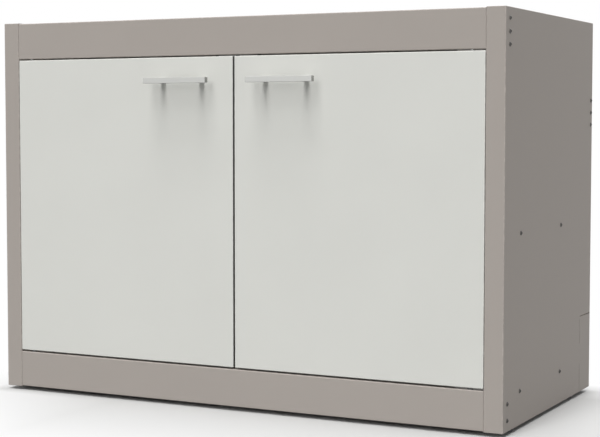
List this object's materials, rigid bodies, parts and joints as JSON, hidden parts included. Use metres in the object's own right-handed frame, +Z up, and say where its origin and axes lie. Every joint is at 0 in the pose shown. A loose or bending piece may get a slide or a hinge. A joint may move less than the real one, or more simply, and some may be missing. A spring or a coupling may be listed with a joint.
{
  "type": "sink base cabinet",
  "caption": "Freestanding metal sink base cabinet with open top and back, inset swing doors with bar handles, a lower and a middle shelf, and levelling feet.",
  "frame": {"origin": "on the floor, under the centre of the overall box, handles included", "axes": "+X along the width, to the right of someone facing the doors; +Y from the doors to the back; +Z up"},
  "size_m": [1.205, 0.633, 0.838],
  "materials": {
    "carcass_paint": "fine matt powder coat, warm grey",
    "door_paint": "fine matt powder coat, pale grey",
    "satin_steel": "satin, brushed along its length",
    "zinc": "zinc plated",
    "dark_screws": "black oxide, slightly glossy",
    "catch_plastic": "moulded, fine texture",
    "magnets": "ground ferrite",
    "nylon": "moulded nylon, dark grey",
    "rubber": "matt",
    "foot_plastic": "moulded, matt"
  },
  "bodies": {
    "carcass": {"bottom_front_rail": "carcass_paint", "bottom_rail_fixing_left": "dark_screws", "bottom_rail_fixing_right": "dark_screws", "catch_body": "catch_plastic", "catch_magnet_left": "magnets", "catch_magnet_right": "magnets", "lower_pivot_left": "zinc", "lower_pivot_right": "zinc", "lower_shelf": "carcass_paint", "lower_shelf_screw_left_front": "dark_screws", "lower_shelf_screw_left_rear": "dark_screws", "lower_shelf_screw_right_front": "dark_screws", "lower_shelf_screw_right_rear": "dark_screws", "middle_shelf": "carcass_paint", "middle_shelf_screw_left_front": "dark_screws", "middle_shelf_screw_left_rear": "dark_screws", "middle_shelf_screw_right_front": "dark_screws", "middle_shelf_screw_right_rear": "dark_screws", "pivot_washer_left": "nylon", "pivot_washer_right": "nylon", "rear_cross_rail": "carcass_paint", "rear_rail_fixing_left": "dark_screws", "rear_rail_fixing_right": "dark_screws", "side_panel_left": "carcass_paint", "side_panel_right": "carcass_paint", "top_front_rail": "carcass_paint", "top_rail_fixing_left": "dark_screws", "top_rail_fixing_right": "dark_screws", "upper_pivot_left": "zinc", "upper_pivot_right": "zinc"},
    "door_left": {"door_buffer_left": "rubber", "door_liner_left": "door_paint", "door_skin_left": "door_paint", "handle_bar_left": "satin_steel", "handle_post_left_inner": "satin_steel", "handle_post_left_outer": "satin_steel", "handle_screw_left_inner": "zinc", "handle_screw_left_outer": "zinc", "lower_bush_left": "nylon", "strike_plate_left": "zinc", "upper_bush_left": "nylon"},
    "door_right": {"door_buffer_right": "rubber", "door_liner_right": "door_paint", "door_skin_right": "door_paint", "handle_bar_right": "satin_steel", "handle_post_right_inner": "satin_steel", "handle_post_right_outer": "satin_steel", "handle_screw_right_inner": "zinc", "handle_screw_right_outer": "zinc", "lower_bush_right": "nylon", "strike_plate_right": "zinc", "upper_bush_right": "nylon"},
    "foot_front_left": {"foot_front_left_pad": "foot_plastic", "foot_front_left_stem": "zinc"},
    "foot_front_right": {"foot_front_right_pad": "foot_plastic", "foot_front_right_stem": "zinc"},
    "foot_rear_left": {"foot_rear_left_pad": "foot_plastic", "foot_rear_left_stem": "zinc"},
    "foot_rear_right": {"foot_rear_right_pad": "foot_plastic", "foot_rear_right_stem": "zinc"}
  },
  "joints": [
    {"name": "left_door_hinge", "type": "hinge", "parent": "carcass", "child": "door_left", "pos_m": [-0.529, -0.2705, 0.42], "axis": [0, 0, -1], "range_deg": [0, 110]},
    {"name": "right_door_hinge", "type": "hinge", "parent": "carcass", "child": "door_right", "pos_m": [0.529, -0.2705, 0.42], "axis": [0, 0, 1], "range_deg": [0, 110]},
    {"name": "foot_front_left_thread", "type": "slide", "parent": "carcass", "child": "foot_front_left", "axis": [0, 0, -1], "range_m": [0, 0.02]},
    {"name": "foot_front_right_thread", "type": "slide", "parent": "carcass", "child": "foot_front_right", "axis": [0, 0, -1], "range_m": [0, 0.02]},
    {"name": "foot_rear_left_thread", "type": "slide", "parent": "carcass", "child": "foot_rear_left", "axis": [0, 0, -1], "range_m": [0, 0.02]},
    {"name": "foot_rear_right_thread", "type": "slide", "parent": "carcass", "child": "foot_rear_right", "axis": [0, 0, -1], "range_m": [0, 0.02]}
  ]
}
